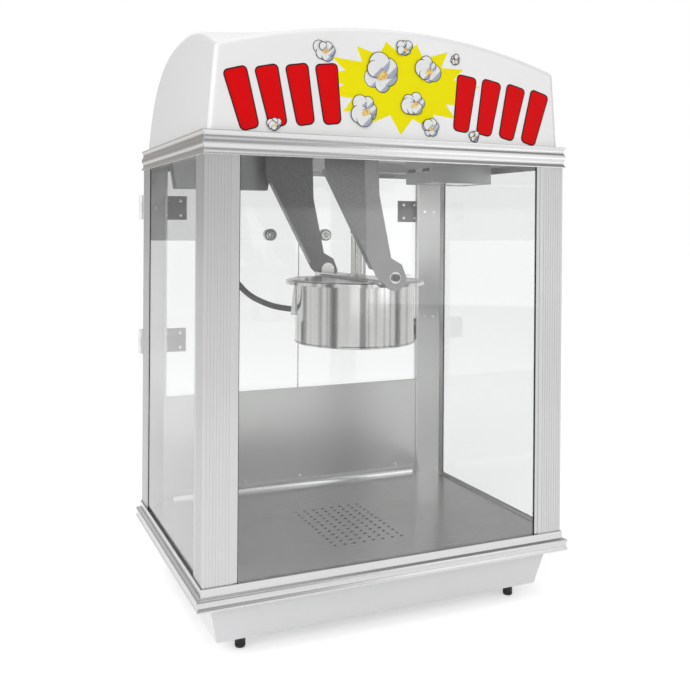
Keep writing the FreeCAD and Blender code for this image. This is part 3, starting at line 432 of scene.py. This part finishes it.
lamp_low, lamp_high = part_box("lamp_housing")
fold_proud = 0.0012          # the hem along the housing's lower front edge
fold_h = 0.0028
seam_proud = 0.0007          # the thin seam above it
seam_inset = 0.004
seam_foot, seam_head = 0.033, 0.0345
guard_inset = 0.009          # the dark guard in the slot of its left side
guard_near, guard_far = 0.0014, 0.0026
guard_foot, guard_head = 0.0245, 0.0305
mesh = bmesh.new()
add_bar(mesh, (lamp_low.x - fold_proud, lamp_low.y - fold_proud, lamp_low.z),
        (lamp_high.x, lamp_low.y - strip_gap, lamp_low.z + fold_h), 0.0004)
add_bar(mesh, (lamp_low.x + seam_inset, lamp_low.y - seam_proud, lamp_low.z + seam_foot),
        (lamp_high.x - seam_inset, lamp_low.y - strip_gap, lamp_low.z + seam_head), 0.0002)
make_piece("lamp_housing_folds", mesh, zinc_coat, "cabinet")
mesh = bmesh.new()
add_bar(mesh, (lamp_low.x + guard_near, lamp_low.y + guard_inset, lamp_low.z + guard_foot),
        (lamp_low.x + guard_far, lamp_high.y - guard_inset, lamp_low.z + guard_head), 0.0003)
make_piece("lamp_slot_guard", mesh, black_plastic, "cabinet")


# ---- Drive ------------------------------------------------------------------------------
# A grey painted motor and gearbox stand in the dome and turn the steel drive shaft, whose
# forked end drives the stirrer's tang.

motor_paint, _, _ = coated("motor_paint", (0.16, 0.17, 0.18, 1.0), 0.45, 800.0, 0.25, 0.15)
dress(motor_paint, "drive_motor")
bright_steel, _, _ = metal("turned_steel", (0.62, 0.61, 0.59, 1.0), 0.26, (60, 60, 1800), 0.15, 0.1, 0.1)
dress(bright_steel, "drive_shaft", "agitator", "shaft_sleeve")


# ---- Kettle arms ------------------------------------------------------------------------
# Two plates hang from the ceiling and carry the kettle's trunnions. They are cast-grey sheet
# with a fine speckled finish.

arm_finish, tree, shader = metal("speckled_grey", (0.34, 0.34, 0.34, 1.0), 0.5, (520, 520, 520), 0.45,
                                 0.12, 0.3)
shader.inputs["Metallic"].default_value = 0.6
place = add_node(tree, "TexCoord").outputs["Object"]
fleck = add_node(tree, "TexVoronoi", {"feature": "F1"}, Scale=900.0, Vector=place)
fleck_tone = add_node(tree, "SeparateColor", Color=fleck.outputs["Color"]).outputs["Red"]
tree.links.new(ramp(tree, fleck_tone, [(0.0, 0.27), (1.0, 0.41)]), shader.inputs["Base Color"])
dress(arm_finish, "kettle_arm_front", "kettle_arm_rear")
soften(0.0008, "kettle_arm_front", "kettle_arm_rear")

off_arm = 0.0004             # washers and bolts stand this far off the arm's face
pivot_x = 0.033              # the tilt axis, to the right of the cabinet's middle
pivot_rise = 0.024           # and above the arms' lowest point
bolts = 4
bolt_inset = 0.022
bolt_pitch = 0.021
bolt_drop = 0.014
pivot_low, pivot_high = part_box("kettle_crossbar")
pivot_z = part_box("kettle_arm_front")[0].z + pivot_rise
for end, side in (("front", -1), ("rear", 1)):
    arm_low, arm_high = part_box("kettle_arm_" + end)
    face_y = arm_low.y - off_arm if side < 0 else arm_high.y + off_arm
    pin_y = pivot_low.y if side < 0 else pivot_high.y
    mesh = bmesh.new()
    turn_profile(mesh, [(0.0053, 0), (0.0115, 0), (0.0115, 0.0012), (0.0108, 0.0018), (0.0053, 0.0018),
                        (0.0053, 0)], Vector((pivot_x, face_y, pivot_z)), (0, side, 0))
    make_piece("pivot_washer_" + end, mesh, bright_steel, "cabinet")
    mesh = bmesh.new()
    turn_profile(mesh, [(0, -0.001), (0.0062, -0.001), (0.0070, 0.0002), (0.0066, 0.0016), (0, 0.0024)],
                 Vector((pivot_x, pin_y, pivot_z)), (0, side, 0))
    make_piece("pivot_cap_" + end, mesh, black_plastic, "kettle")
    mesh = bmesh.new()
    for step in range(bolts):
        bolt_x = arm_low.x + bolt_inset + bolt_pitch * step
        turn_profile(mesh, [(0, 0), (0.0048, 0), (0.0048, 0.0009), (0.0036, 0.0024), (0, 0.003)],
                     Vector((bolt_x, face_y, arm_high.z - bolt_drop)), (0, side, 0), 20)
    make_piece("arm_bolts_" + end, mesh, screw_finish, "cabinet")


# ---- Kettle -----------------------------------------------------------------------------
# The kettle is a spun bowl in a rolled stainless shell, polished bright, with two flat lids
# hinged on the channel that crosses its rim. The upright light and dark bands round the shell
# are painted reflection, a fixed tone in its base colour; only part of what shows on it is reflected.

kettle_steel, tree, shader = metal("polished_steel", (0.60, 0.595, 0.585, 1.0), 0.13, (40, 40, 900),
                                   0.06, 0.05, 0.02)
shader.inputs["Anisotropic"].default_value = 0.6
tangent = add_node(tree, "Tangent", {"direction_type": "RADIAL", "axis": "Z"})
tree.links.new(tangent.outputs[0], shader.inputs["Tangent"])
shell_low, shell_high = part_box("kettle_shell")
shell_mid = (shell_low + shell_high) / 2
from_axis = add_node(tree, "Mapping", Vector=add_node(tree, "TexCoord").outputs["Object"],
                     Location=(-shell_mid.x, -shell_mid.y, 0.0)).outputs[0]
level = add_node(tree, "VectorMath", {"operation": "MULTIPLY"})
tree.links.new(from_axis, level.inputs[0])
level.inputs[1].default_value = (1.0, 1.0, 0.0)
direction = add_node(tree, "VectorMath", {"operation": "NORMALIZE"})
tree.links.new(level.outputs[0], direction.inputs[0])
# Noise round the shell's axis sets upright light and dark bands in the base colour: painted reflection.
bands = add_node(tree, "TexNoise", Vector=direction.outputs[0], Scale=4.6, Detail=3.0)
painted_reflection = ramp(tree, bands.outputs["Fac"], [(0.36, (0.22, 0.218, 0.214)), (0.48, (0.66, 0.655, 0.645)),
                                           (0.58, (0.62, 0.61, 0.60)), (0.64, (0.36, 0.355, 0.35))])
tree.links.new(painted_reflection, shader.inputs["Base Color"])
dress(kettle_steel, "kettle_shell", "kettle_bowl")
soften(0.0005, "kettle_shell", "kettle_bowl")
lid_finish, _, _ = metal("rolled_steel", (0.62, 0.62, 0.61, 1.0), 0.22, (700, 8, 700), 0.15, 0.1, 0.05)
dress(lid_finish, "lid_left", "lid_right", "kettle_crossbar", "terminal_box", "kettle_heater")


# ---- Kettle lead ------------------------------------------------------------------------
# The kettle's supply lead is sleeved in braided glass fibre and plugs into the ceiling
# socket. It bends as the kettle tips.

lead_d = 0.0115
lead_mid = [(-0.0889, 0.04734, 0.534), (-0.115, 0.0595, 0.537), (-0.137, 0.07275, 0.5455),
            (-0.156, 0.09175, 0.556), (-0.171, 0.11175, 0.572), (-0.182, 0.13075, 0.593),
            (-0.189, 0.14875, 0.620), (-0.1925, 0.16575, 0.650), (-0.1925, 0.18175, 0.681),
            (-0.188, 0.19825, 0.708), (-0.188, 0.19825, 0.735)]
curve = bpy.data.curves.new("kettle_cord", "CURVE")
curve.dimensions = "3D"
spline = curve.splines.new("NURBS")
spline.points.add(len(lead_mid) - 1)
for point, at in zip(spline.points, lead_mid):
    point.co = (*at, 1.0)
spline.order_u = 3
spline.use_endpoint_u = True
curve.resolution_u = 16
line = bpy.data.objects.new("lead_line", curve)
bpy.context.scene.collection.objects.link(line)
lead_path = [vert.co.copy() for vert in bpy.data.meshes.new_from_object(line).vertices]
curve.bevel_depth = lead_d / 2
curve.bevel_resolution = 6
curve.use_fill_caps = True
bpy.context.view_layer.update()
lead = bpy.data.objects.new("braided_lead", bpy.data.meshes.new_from_object(line))
bpy.data.objects.remove(line)
bpy.context.scene.collection.objects.link(lead)
braid, tree, shader = new_material("braided_sleeve", 0.0, 0.55)
strand_turns = 7.54          # the bands' scale round the lead
strand_rows = 94.0           # and along it
on_tube = add_node(tree, "TexCoord").outputs["UV"]
strands = []
for lay in (-strand_turns, strand_turns):
    laid = add_node(tree, "Mapping", Vector=on_tube, Scale=(strand_rows, lay, 0.0)).outputs[0]
    wave = add_node(tree, "TexWave", {"bands_direction": "DIAGONAL"}, Vector=laid, Scale=1.0)
    strands.append(wave.outputs["Fac"])
woven = arithmetic(tree, "MULTIPLY", *strands)
thread = ramp(tree, woven, [(0.0, (0.012, 0.012, 0.013)), (0.7, (0.26, 0.26, 0.265))])
tree.links.new(thread, shader.inputs["Base Color"])
raised = add_node(tree, "Bump", Height=woven, Strength=0.6, Distance=0.0006)
tree.links.new(raised.outputs["Normal"], shader.inputs["Normal"])
lead.data.materials.clear()
lead.data.materials.append(braid)
lead.data.shade_smooth()
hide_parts("kettle_lead")
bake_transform(lead, "kettle", "cabinet", lead_mid[0], lead_mid[-1])


# ---- Doors ------------------------------------------------------------------------------
# Two clear acrylic doors close the rear above the panel, on steel butt hinges, and each has
# a knob near the middle.

acrylic, _, _ = clear("clear_acrylic", (0.95, 0.955, 0.955, 1.0), 1.49)
dress(acrylic, "door_left", "door_right")
hinge_finish, _, shader = metal("hinge_steel", (0.86, 0.86, 0.85, 1.0), 0.42, (500, 500, 30),
                                0.12, 0.1, 0.1)
shader.inputs["Metallic"].default_value = 0.45
dress(hinge_finish, "door_leaves_left", "door_leaves_right", "post_leaves", "door_knob_left",
      "door_knob_right")
off_door = 0.0001
hinge_h = 0.050
nut_rises = (0.010, 0.040)   # each nut's height on its leaf, and its reach along it
nut_reaches = (0.014, 0.044)
for side in ("left", "right"):
    leaf_low, leaf_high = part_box("door_leaves_" + side)
    inner_x = leaf_low.x if side == "right" else leaf_high.x
    inward = 1 if side == "right" else -1
    door_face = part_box("door_" + side)[0].y - off_door
    mesh = bmesh.new()
    for hinge_foot in (leaf_low.z, leaf_high.z - hinge_h):
        for up in nut_rises:
            for along in nut_reaches:
                turn_profile(mesh, [(0, 0), (0.0042, 0), (0.0042, 0.0008), (0.0030, 0.0022),
                                    (0.0014, 0.0024), (0.0012, 0.0012), (0, 0.0012)],
                             Vector((inner_x + inward * along, door_face, hinge_foot + up)), (0, -1, 0), 20)
    make_piece("leaf_nuts_" + side, mesh, screw_finish, "door_" + side)
washer_dark, _, _ = coated("washer_gasket", (0.05, 0.05, 0.05, 1.0), 0.5, 1500.0, 0.2, 0.2)
for side in ("left", "right"):
    knob_low, knob_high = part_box("door_knob_" + side)
    at = Vector(((knob_low.x + knob_high.x) / 2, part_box("door_" + side)[0].y - off_door,
                 (knob_low.z + knob_high.z) / 2))
    mesh = bmesh.new()
    turn_profile(mesh, [(0.0115, 0), (0.0129, 0), (0.0129, 0.0011), (0.0124, 0.0016), (0.0115, 0.0014),
                        (0.0115, 0)], at, (0, -1, 0))
    make_piece("knob_gasket_" + side, mesh, washer_dark, "door_" + side)
    mesh = bmesh.new()
    turn_profile(mesh, [(0, 0), (0.0114, 0), (0.0114, 0.0012), (0.0092, 0.0019), (0.006, 0.0014),
                        (0.0052, 0.0014), (0.0048, 0.003), (0.0032, 0.0041), (0.0026, 0.0034),
                        (0, 0.0032)], at, (0, -1, 0))
    make_piece("knob_washer_" + side, mesh, screw_finish, "door_" + side)


# ---- Top trim ---------------------------------------------------------------------------
# The top trim is extruded aluminium like the base trim, with two coves between three
# ridges, mitred at the corners.

dress(trim_across, "top_trim_front", "top_trim_rear")
# The side lengths get a darker, duller, warmer copy of the front and rear lengths' finish: painted shade.
shaded_side_trim, _, _ = metal("trim_sides_painted_shade", (0.60, 0.58, 0.555, 1.0), 0.34, (900, 6, 900), 0.1, 0.08, 0.05)
dress(shaded_side_trim, "top_trim_left", "top_trim_right")
soften(0.0006, "top_trim_front", "top_trim_rear", "top_trim_left", "top_trim_right")


# ---- Dome -------------------------------------------------------------------------------
# The dome is one thermoformed shell of white acrylic-faced plastic, glossy, with rounded
# edges and a slight draw texture.

dome_white, _, shader = coated("dome_plastic", (0.96, 0.96, 0.955, 1.0), 0.22, 120.0, 0.04, 0.02)
shader.inputs["Coat Weight"].default_value = 0.4
shader.inputs["Coat Roughness"].default_value = 0.08
dress(dome_white, "dome")


# ---- Sign -------------------------------------------------------------------------------
# The dome's front carries a plain sign of thin printed plates: red awning stripes that fan
# out along the arch, a yellow burst in the middle, and puffs of popped corn scattered on it.

dome_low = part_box("dome")[0]
sign_y = dome_low.y
sign_foot = dome_low.z
sign_gap = 0.00005           # what keeps a plate off the dome
arch_r = 1.032
arch_follow = 0.55           # how much of the arch's drop a stripe follows
plate_t = 0.0004
stripe_h = 0.098
stripe_w = 0.033
stripe_flare = (0.86, 1.14)  # its width's share at the foot and at the head
stripe_round = 0.007
stripe_pitch = 0.0505
stripe_start = 0.131
stripe_z = sign_foot + 0.074
keyline = 0.0022


def print_finish(name, color):
    material, _, shader = coated(name, color, 0.45, 1500.0, 0.05, 0.05)
    shader.inputs["Specular IOR Level"].default_value = 0.12
    return material


print_red = print_finish("print_red", (0.78, 0.0, 0.002, 1.0))
print_black = print_finish("print_black", (0.012, 0.012, 0.014, 1.0))
print_yellow = print_finish("print_yellow", (0.98, 0.88, 0.0, 1.0))


def stand_up(mesh, made, thickness, place):
    """Thickens flat faces drawn in XY and stands them on the dome's front by a matrix."""
    faces = list({face for vert in made for face in vert.link_faces})
    grown = bmesh.ops.extrude_face_region(mesh, geom=faces)["geom"]
    raised = [item for item in grown if isinstance(item, bmesh.types.BMVert)]
    bmesh.ops.translate(mesh, vec=(0, 0, thickness), verts=raised)
    upright = Matrix.Rotation(math.radians(90), 4, "X")
    bmesh.ops.transform(mesh, matrix=place @ upright, verts=list(set(made) | set(raised)))


def add_stripe(mesh, x, grow, thickness):
    """One awning stripe, leaning with the arch, grown by a margin all round."""
    before = set(mesh.verts)
    corners = bmesh.ops.create_grid(mesh, x_segments=1, y_segments=1, size=0.5)["verts"]
    for vert in corners:
        wide = stripe_w * stripe_flare[vert.co.y > 0] + 2 * grow
        vert.co = (vert.co.x * wide, vert.co.y * (stripe_h + 2 * grow), 0)
    bmesh.ops.bevel(mesh, geom=corners, offset=stripe_round + grow, segments=6, profile=0.5,
                    affect="VERTICES", material=-1)
    made = [vert for vert in mesh.verts if vert not in before]
    lean = math.asin(x / arch_r)
    drop = arch_r * (1 - math.cos(lean))
    place = Matrix.Translation((x, sign_y - sign_gap, stripe_z - drop * arch_follow))
    stand_up(mesh, made, thickness, place @ Matrix.Rotation(lean, 4, "Y"))


stripe_places = [side * (stripe_start + stripe_pitch * step) for side in (-1, 1) for step in range(4)]
mesh = bmesh.new()
for x in stripe_places:
    add_stripe(mesh, x, keyline, plate_t)
bmesh.ops.recalc_face_normals(mesh, faces=mesh.faces)
make_piece("stripe_keylines", mesh, print_black, "cabinet")
mesh = bmesh.new()
for x in stripe_places:
    add_stripe(mesh, x, 0.0, plate_t * 2)
bmesh.ops.recalc_face_normals(mesh, faces=mesh.faces)
make_piece("awning_stripes", mesh, print_red, "cabinet")

burst_points = 15
burst_w = 0.165
burst_h = 0.086
burst_tip = (0.86, 1.0)      # how far a point reaches, and a notch between two points
burst_notch = (0.6, 0.68)
burst_mid = (0.004, 0.093)
mesh = bmesh.new()
made = bmesh.ops.create_circle(mesh, cap_ends=True, segments=2 * burst_points, radius=1.0)["verts"]
chance = random.Random(4)
for step, vert in enumerate(made):
    reach = chance.uniform(*(burst_tip if step % 2 else burst_notch))
    vert.co = (vert.co.x * burst_w * reach, vert.co.y * burst_h * reach, 0)
stand_up(mesh, made, plate_t * 0.6,
         Matrix.Translation((burst_mid[0], sign_y - sign_gap, sign_foot + burst_mid[1])))
bmesh.ops.recalc_face_normals(mesh, faces=mesh.faces)
make_piece("yellow_burst", mesh, print_yellow, "cabinet")

puff_places = [(-0.140, 0.143, 0.019), (-0.036, 0.112, 0.036), (0.010, 0.158, 0.015), (0.056, 0.124, 0.027),
               (0.028, 0.064, 0.025), (-0.066, 0.046, 0.028), (0.062, 0.024, 0.017), (-0.228, 0.014, 0.012),
               (0.152, 0.012, 0.011), (0.112, 0.147, 0.010)]
lobe_step = 0.00045          # each lobe's rise over the one before
puff_lobes = 6
lobe_reach = (0.36, 0.62)    # a lobe's distance from the puff's middle, and its radius, as
lobe_size = (0.34, 0.56)     # shares of the puff's size


def add_lobe(mesh, at, radius, lift, keep_shade):
    """A low round lobe on the sign at (x, z), its shaded side low and to the right."""
    made = bmesh.ops.create_uvsphere(mesh, u_segments=24, v_segments=12, radius=1.0)["verts"]
    if keep_shade:
        layer = mesh.verts.layers.float["shade"]
        for vert in made:
            vert[layer] = min(max(0.5 * (vert.co.x - vert.co.z) + 0.12, 0.0), 1.0)
    shape = Matrix.Diagonal((radius, lobe_step * 1.1, radius, 1.0))
    bmesh.ops.transform(mesh, matrix=Matrix.Translation((at[0], sign_y - lift, at[1])) @ shape, verts=made)
    for vert in made:
        vert.co.y = min(vert.co.y, sign_y - 0.00003)


outlines, bodies, hearts = bmesh.new(), bmesh.new(), bmesh.new()
bodies.verts.layers.float.new("shade")
for x, z, size in puff_places:
    turn = chance.uniform(0, math.tau)
    middle = (x, sign_foot + z)
    for step in range(puff_lobes):
        angle = turn + math.tau * step / puff_lobes + chance.uniform(-0.35, 0.35)
        reach = size * chance.uniform(*lobe_reach)
        radius = size * chance.uniform(*lobe_size)
        at = (middle[0] + reach * math.cos(angle), middle[1] + reach * math.sin(angle) * 0.86)
        lift = lobe_step * (step + 1)
        add_lobe(outlines, at, radius + keyline * 0.55, lift - lobe_step * 0.45, False)
        add_lobe(bodies, at, radius, lift, True)
    lift = lobe_step * (puff_lobes + 1)
    for step in range(2):
        at = (middle[0] + size * (0.14 - 0.2 * step), middle[1] - size * (0.1 + 0.1 * step))
        add_lobe(hearts, at, size * (0.2 - 0.05 * step), lift + lobe_step * 0.4 * step, False)
make_piece("puff_keylines", outlines, print_black, "cabinet")
print_gold, tree, shader = new_material("print_gold", 0.0, 0.35)
place = add_node(tree, "TexCoord").outputs["Object"]
grain = add_node(tree, "TexNoise", Scale=260.0, Detail=2.0, Vector=place).outputs["Fac"]
tint = ramp(tree, grain, [(0.42, (0.80, 0.40, 0.04)), (0.58, (0.93, 0.78, 0.30))])
tree.links.new(tint, shader.inputs["Base Color"])
make_piece("corn_hearts", hearts, print_gold, "cabinet")
puff_white, tree, shader = new_material("puff_white", 0.0, 0.35)
painted = add_node(tree, "Attribute", {"attribute_name": "shade"}).outputs["Fac"]
shade = ramp(tree, painted, [(0.38, 0.9), (0.5, (0.40, 0.44, 0.55))])
tree.links.new(shade, shader.inputs["Base Color"])
make_piece("corn_puffs", bodies, puff_white, "cabinet")


# ---- Studio -----------------------------------------------------------------------------
# A pale floor in a white surround, and four soft boxes: left, right, overhead and in front,
# the last left out of reflections. The camera is to the left of the front, a little above
# the machine's middle. The floor's glow is seen straight or mirrored but lights nothing, and
# the surround is plain white only where nothing has bounced.

floor_reach = 40.0
floor_glow = 0.45
unbounced = 0.5              # a ray's depth is below this until it first bounces

mesh = bmesh.new()
bmesh.ops.create_grid(mesh, x_segments=8, y_segments=8, size=floor_reach)
floor_data = bpy.data.meshes.new("studio_floor")
mesh.to_mesh(floor_data)
mesh.free()
floor = bpy.data.objects.new("studio_floor", floor_data)
bpy.context.scene.collection.objects.link(floor)
paper, tree, shader = coated("studio_paper", (0.93, 0.93, 0.93, 1.0), 0.9, 60.0, 0.02, 0.01)
shader.inputs["Emission Color"].default_value = (1.0, 1.0, 1.0, 1.0)
direct = arithmetic(tree, "LESS_THAN", add_node(tree, "LightPath").outputs["Diffuse Depth"], unbounced)
tree.links.new(arithmetic(tree, "MULTIPLY", direct, floor_glow), shader.inputs["Emission Strength"])
floor_data.materials.append(paper)

world = bpy.data.worlds.new("studio")
bpy.context.scene.world = world
world.use_nodes = True
tree = world.node_tree
surround = tree.nodes["Background"]
surround.inputs["Strength"].default_value = 1.0
outward = add_node(tree, "TexCoord").outputs["Generated"]
toward = add_node(tree, "SeparateXYZ", Vector=outward)
height = ramp(tree, toward.outputs["Z"], [(0.018, 0.95), (0.024, 0.3), (0.75, 0.8)])
front = ramp(tree, toward.outputs["Y"], [(0.0, 0.0), (0.2, 1.0)])
blend = add_node(tree, "Mix", {"data_type": "RGBA"}, Factor=front)
tree.links.new(height, blend.inputs["A"])
blend.inputs["B"].default_value = (0.85, 0.85, 0.85, 1.0)

# dark flags round the horizon: each one's middle and half width, as shares of the turn, and tone
dark_flags = ((0.05, 0.034, 0.4), (0.233, 0.034, 0.5), (0.41, 0.046, 0.45), (0.62, 0.05, 0.6),
              (0.82, 0.04, 0.35))
flag_fade = 1.5              # where a flag has faded out, in half widths
stops = [(0.0, 1.0)]
for middle, half, tone in dark_flags:
    faded = flag_fade * half
    stops += [(middle - faded, 1.0), (middle - half, tone), (middle + half, tone), (middle + faded, 1.0)]
sweep = add_node(tree, "TexGradient", {"gradient_type": "RADIAL"}, Vector=outward)
flags = ramp(tree, sweep.outputs["Fac"], stops + [(1.0, 1.0)])
banded = add_node(tree, "Mix", {"data_type": "RGBA", "blend_type": "MULTIPLY"}, Factor=1.0)
tree.links.new(blend.outputs["Result"], banded.inputs["A"])
tree.links.new(flags, banded.inputs["B"])
tree.links.new(banded.outputs["Result"], surround.inputs["Color"])
backdrop = add_node(tree, "Background", Color=(1, 1, 1, 1), Strength=1.0)
seen = add_node(tree, "LightPath")
bounces = arithmetic(tree, "ADD", seen.outputs["Diffuse Depth"], seen.outputs["Glossy Depth"])
direct = arithmetic(tree, "LESS_THAN", bounces, unbounced)
either = add_node(tree, "MixShader", Fac=direct)
tree.links.new(surround.outputs[0], either.inputs[1])
tree.links.new(backdrop.outputs[0], either.inputs[2])
tree.links.new(either.outputs[0], tree.nodes["World Output"].inputs["Surface"])


def soft_box(name, at, target, width, height, power, mirrored=True):
    """A rectangular lamp aimed at a point. One that isn't mirrored stays out of reflections."""
    lamp = bpy.data.lights.new(name, "AREA")
    lamp.shape = "RECTANGLE"
    lamp.size = width
    lamp.size_y = height
    lamp.energy = power
    holder = bpy.data.objects.new(name, lamp)
    holder.location = at
    holder.visible_glossy = mirrored
    holder.rotation_euler = (Vector(target) - Vector(at)).to_track_quat("-Z", "Y").to_euler()
    bpy.context.scene.collection.objects.link(holder)


machine_mid = (0.0, 0.0, 0.5)
soft_box("box_left", (-2.4, -1.2, 1.5), machine_mid, 1.4, 1.8, 21)
soft_box("box_right", (1.6, -2.4, 1.1), machine_mid, 1.2, 1.6, 6)
soft_box("box_top", (0.0, -0.3, 2.8), machine_mid, 2.2, 2.2, 10)
soft_box("box_front", (-0.6, -3.2, 0.9), machine_mid, 2.4, 1.4, 6, mirrored=False)

camera_data = bpy.data.cameras.new("camera")
camera = bpy.data.objects.new("camera", camera_data)
camera_data.lens = 45.59
camera_data.shift_y = -0.1684
camera_at = (-0.699, -1.5912, 0.6979)
camera_turn = math.radians(-23.936)
camera_tilt = math.radians(90 - 0.106)
camera_roll = math.radians(0.409)
camera.matrix_world = (Matrix.Translation(camera_at) @ Matrix.Rotation(camera_turn, 4, "Z")
                       @ Matrix.Rotation(camera_tilt, 4, "X") @ Matrix.Rotation(camera_roll, 4, "Z"))
bpy.context.scene.collection.objects.link(camera)
bpy.context.scene.camera = camera
bpy.context.scene.view_settings.view_transform = "Standard"
